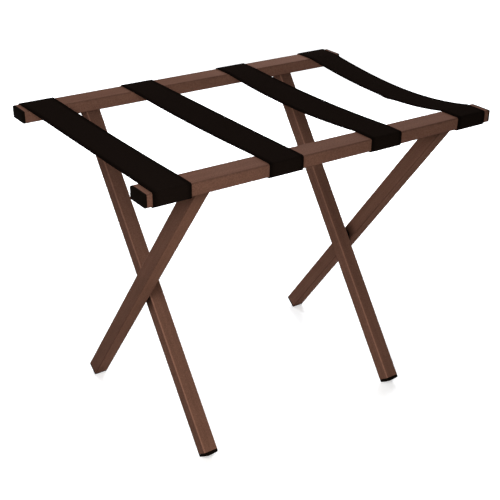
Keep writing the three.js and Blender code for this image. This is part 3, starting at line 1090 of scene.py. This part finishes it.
def strap_rings(number):
    """A strap as rings along its line, the flat place of each point across and along it, and its length.

    Each ring is the webbing's section, a flat band with half-round selvedges. Between the rails each point
    drops, and the section leans with the slope of the drop. The strap goes in a straight line from its shift
    along the front rail to its shift along the back rail. The cut ends are rounded off over half the
    thickness, and rivets press shallow dents in the tails.
    """
    strap = settings("straps")
    name = STRAPS[number]
    thinnest = 0.2
    half_thick = strap.thickness / 2
    line, normal, travel, place = strap_line(STRAP_RISE - half_thick, strap.tail)
    low, high = np.array(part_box(f"strap_{name}"))
    half_wide = (high[0] - low[0]) / 2
    middle = (low[0] + high[0]) / 2

    column = np.linspace(-1, 1, STRAP_COLUMNS) * (half_wide - half_thick)
    turn = np.linspace(math.pi / 2, -math.pi / 2, SELVEDGE_STEPS)[1:-1]
    selvedge = half_wide - half_thick + half_thick * np.cos(turn)
    across = np.concatenate([column, selvedge, column[::-1], -selvedge])
    top = np.concatenate([np.full(STRAP_COLUMNS, half_thick), half_thick * np.sin(turn)])
    over = np.concatenate([top, -top])

    length = travel[-1]
    to_end = np.minimum(travel, length - travel)
    hollow = 1 - np.clip(to_end / half_thick, 0, 1)
    plump = np.maximum(np.sqrt(1 - hollow ** 2), thinnest)
    share = (across / half_wide + 1) / 2
    drop, slope = strap_drop(number, place[:, None], share[None, :])
    stretch = np.sqrt(1 + slope ** 2)
    normal_y = (normal[:, :1] + slope * normal[:, 1:]) / stretch
    normal_z = normal[:, 1:] / stretch
    offset = over[None, :] * plump[:, None] - strap.dent * rivet_dents(name, across + middle, line)

    shift = [strap.front_shift[number], strap.back_shift[number]]
    askew = np.interp(line[:, 0], [-RAIL_REACH, RAIL_REACH], shift)
    x = middle + across[None, :] + askew[:, None]
    y = line[:, :1] + normal_y * offset
    z = line[:, 1:] - drop + normal_z * offset
    flat = np.broadcast_arrays(across[None, :], travel[:, None])
    return np.stack([x, y, z], axis=-1), np.stack(flat, axis=-1), length


class LUGGAGE_OT_straps(Operator):
    """Draws the webbing straps, which hang a little between the rails and are wrapped round them"""

    bl_idname = "luggage_rack.straps"
    bl_label = "Straps"

    def execute(self, context):
        for number, name in enumerate(STRAPS):
            node = f"strap_{name}"
            rings, flat, length = strap_rings(number)
            points, faces = closed_stack(rings)
            piece = dress(node, points, faces, "nylon_webbing", rides=False)
            poles = np.stack([flat[0].mean(axis=0), flat[-1].mean(axis=0)])
            surface_map(piece, np.concatenate([flat.reshape(-1, 2), poles]))
            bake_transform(piece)
        return {"FINISHED"}


def strap_rivet_profile(head, tall):
    """Half the outline of a set blind rivet, from the broken mandrel in its head up to the bulb in the tube.

    The head's face is part of a flattened ball: at a share of the head's radius it stands back by the dome's
    height times 1 less the root of 1 less the share squared.
    """
    hole = 1.2 * MM
    mandrel = 0.8 * hole
    recess = 0.5 * MM
    lip = 0.1 * MM
    dome = 2.0 * MM
    shank = 2.0 * MM
    bulb = 3.25 * MM
    shoulder = 0.5 * MM
    rounding = 0.6 * MM
    innermost = 0.3
    steepest = 0.98
    share = np.linspace(innermost, 1, DOME_STEPS)
    domed = np.column_stack([head * share, dome * (1 - np.sqrt(1 - (share * steepest) ** 2))])
    return [
        (hole * innermost, recess),
        (mandrel, recess),
        (hole, lip),
        *domed.tolist(),
        (head, dome),
        (shank, dome),
        (shank, tall / 2),
        (bulb, tall / 2 + shoulder),
        (bulb, tall - rounding),
        (bulb - rounding, tall),
    ]


class LUGGAGE_OT_strap_rivets(Operator):
    """Draws the blind rivets that hold the straps' tails, each with the broken mandrel in its head"""

    bl_idname = "luggage_rack.strap_rivets"
    bl_label = "Strap rivets"

    def execute(self, context):
        for rail, strap, side in product(RAILS, STRAPS, SIDES):
            node = f"{rail}_rivet_{strap}_{side}"
            low, high = np.array(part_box(node))
            profile = strap_rivet_profile((high[0] - low[0]) / 2, high[2] - low[2])
            points, faces = closed_stack(turned_rings(profile, RIVET_STEPS))
            points = points + [(low[0] + high[0]) / 2, (low[1] + high[1]) / 2, low[2]]
            dress(node, points, faces, "zinc_plate")
        return {"FINISHED"}


# Stage

WHITE = "#ffffff"
WARM = "#fff4df"
COOL = "#f7faff"

# Where each softbox stands, the length of its side and its tint
SOFTBOXES = {
    "key_light": ((-0.9, -0.9, 1.2), 0.6, WHITE),
    "low_light": ((-0.25, -0.65, 0.15), 0.25, WARM),
    "side_light": ((-0.75, -0.3, 0.6), 0.3, WHITE),
    "back_light": ((1.0, 1.0, 1.0), 0.8, COOL),
    "top_light": ((-0.2, 1.0, 2.4), 0.4, COOL),
}


def white_to_camera(tree, dim, bright):
    """Mixes two shaders: the bright one where a camera, glossy or transmitted ray looks, else the dim one."""
    path = add_node(tree, "LightPath")
    looks = path["Is Camera Ray"]
    for ray in ("Is Glossy Ray", "Is Transmission Ray"):
        looks = maths(tree, "MAXIMUM", looks, path[ray])
    return add_node(tree, "MixShader", {0: looks, 1: dim, 2: bright})["Shader"]


def floor_paint(name):
    """Pale matt floor. To the eye it is lifted to white, less so near the rack, where its shadow shows."""
    near, far = 0.5, 1.6
    material, tree = new_material(name)
    matt = add_node(tree, "BsdfDiffuse", {"Color": linear("#e8e8e8")})["BSDF"]
    place = add_node(tree, "TexCoord")["Object"]
    away = add_node(tree, "VectorMath", {0: place}, operation="LENGTH")["Value"]
    lift = spread(tree, away, 0.5, 1.0, span=(near, far))
    glow = add_node(tree, "Emission", {"Color": linear(WHITE), "Strength": lift})["Emission"]
    lifted = add_node(tree, "AddShader", {0: matt, 1: glow})["Shader"]
    add_node(tree, "OutputMaterial", {"Surface": white_to_camera(tree, matt, lifted)})
    return material


def add_floor():
    """A square floor under the rack."""
    reach = 6.0
    corners = np.array([[-1, -1, 0], [1, -1, 0], [1, 1, 0], [-1, 1, 0]]) * reach
    mesh = bpy.data.meshes.new("floor")
    mesh.from_pydata(corners.tolist(), [], [[0, 1, 2, 3]])
    mesh.materials.append(floor_paint("pale_floor"))
    floor = bpy.data.objects.new("floor", mesh)
    bpy.context.scene.collection.objects.link(floor)


def add_daylight(strength):
    """Even light from all round, on a white background."""
    world = bpy.data.worlds.new("daylight")
    world.use_nodes = True
    tree = world.node_tree
    tree.nodes.clear()
    dim, bright = (
        add_node(tree, "Background", {"Color": linear(WHITE), "Strength": level})["Background"]
        for level in (strength, 1.0)
    )
    add_node(tree, "OutputWorld", {"Surface": white_to_camera(tree, dim, bright)})
    bpy.context.scene.world = world


def add_softbox(name, place, size, tint, power):
    """A square light of one tint at a place, turned to the middle of the rack."""
    light = bpy.data.lights.new(name, "AREA")
    light.shape = "SQUARE"
    light.size = size
    light.energy = power
    light.color = linear(tint)[:3]
    lamp = bpy.data.objects.new(name, light)
    lamp.location = place
    target = Vector((0, 0, RAIL_HIGH[2] / 2))
    lamp.rotation_euler = (target - Vector(place)).to_track_quat("-Z", "Y").to_euler()
    lamp.visible_camera = False
    bpy.context.scene.collection.objects.link(lamp)


def add_camera(stage):
    """A camera that looks at its aim from the given angles and is turned about its line of sight."""
    back = Vector((
        math.sin(stage.azimuth) * math.cos(stage.elevation),
        -math.cos(stage.azimuth) * math.cos(stage.elevation),
        math.sin(stage.elevation),
    ))
    data = bpy.data.cameras.new("camera")
    data.sensor_width = 36
    data.lens = stage.lens
    data.shift_x, data.shift_y = stage.shift
    camera = bpy.data.objects.new("camera", data)
    turn = (-back).to_track_quat("-Z", "Y").to_matrix().to_4x4() @ Matrix.Rotation(stage.roll, 4, "Z")
    camera.matrix_world = Matrix.Translation(Vector(stage.aim) + back * stage.distance) @ turn
    bpy.context.scene.collection.objects.link(camera)
    bpy.context.scene.camera = camera


class LUGGAGE_OT_stage(Operator):
    """Sets the floor, the light and the camera"""

    bl_idname = "luggage_rack.stage"
    bl_label = "Stage"

    def execute(self, context):
        stage = settings("stage")
        context.scene.view_settings.view_transform = "Standard"
        add_floor()
        add_daylight(stage.daylight)
        for name, (place, size, tint) in SOFTBOXES.items():
            add_softbox(name, place, size, tint, getattr(stage, name))
        add_camera(stage)
        return {"FINISHED"}


PIECES = (
    LUGGAGE_OT_rails,
    LUGGAGE_OT_legs,
    LUGGAGE_OT_welds,
    LUGGAGE_OT_plugs,
    LUGGAGE_OT_feet,
    LUGGAGE_OT_pivots,
    LUGGAGE_OT_sleeves,
    LUGGAGE_OT_strap_rivets,
    LUGGAGE_OT_straps,
    LUGGAGE_OT_stage,
)

GROUPS = {
    "tubes": TubeSettings,
    "plugs": PlugSettings,
    "straps": StrapSettings,
    "finish": FinishSettings,
    "stage": StageSettings,
}


class LUGGAGE_PT_rack(Panel):
    """Lists the sizes and finishes of the rack and the operators that draw it"""

    bl_idname = "LUGGAGE_PT_rack"
    bl_label = "Luggage Rack"
    bl_space_type = "VIEW_3D"
    bl_region_type = "UI"
    bl_category = "Luggage Rack"

    def draw(self, context):
        for name, group in GROUPS.items():
            box = self.layout.box()
            box.label(text=name.capitalize())
            for prop in group.__annotations__:
                box.prop(settings(name), prop)
        column = self.layout.column()
        for operator in PIECES:
            column.operator(operator.bl_idname)


CLASSES = (*GROUPS.values(), *PIECES, LUGGAGE_PT_rack)


def register():
    """Registers the classes and gives the scene its settings."""
    for kind in CLASSES:
        bpy.utils.register_class(kind)
    for name, group in GROUPS.items():
        setattr(bpy.types.Scene, f"luggage_{name}", PointerProperty(type=group))


def unregister():
    """Takes the settings and the classes away again."""
    for name in GROUPS:
        delattr(bpy.types.Scene, f"luggage_{name}")
    for kind in reversed(CLASSES):
        bpy.utils.unregister_class(kind)


def main():
    """Draws every piece and the stage."""
    register()
    for operator in PIECES:
        family, name = operator.bl_idname.split(".")
        getattr(getattr(bpy.ops, family), name)()


if __name__ == "__main__":
    main()
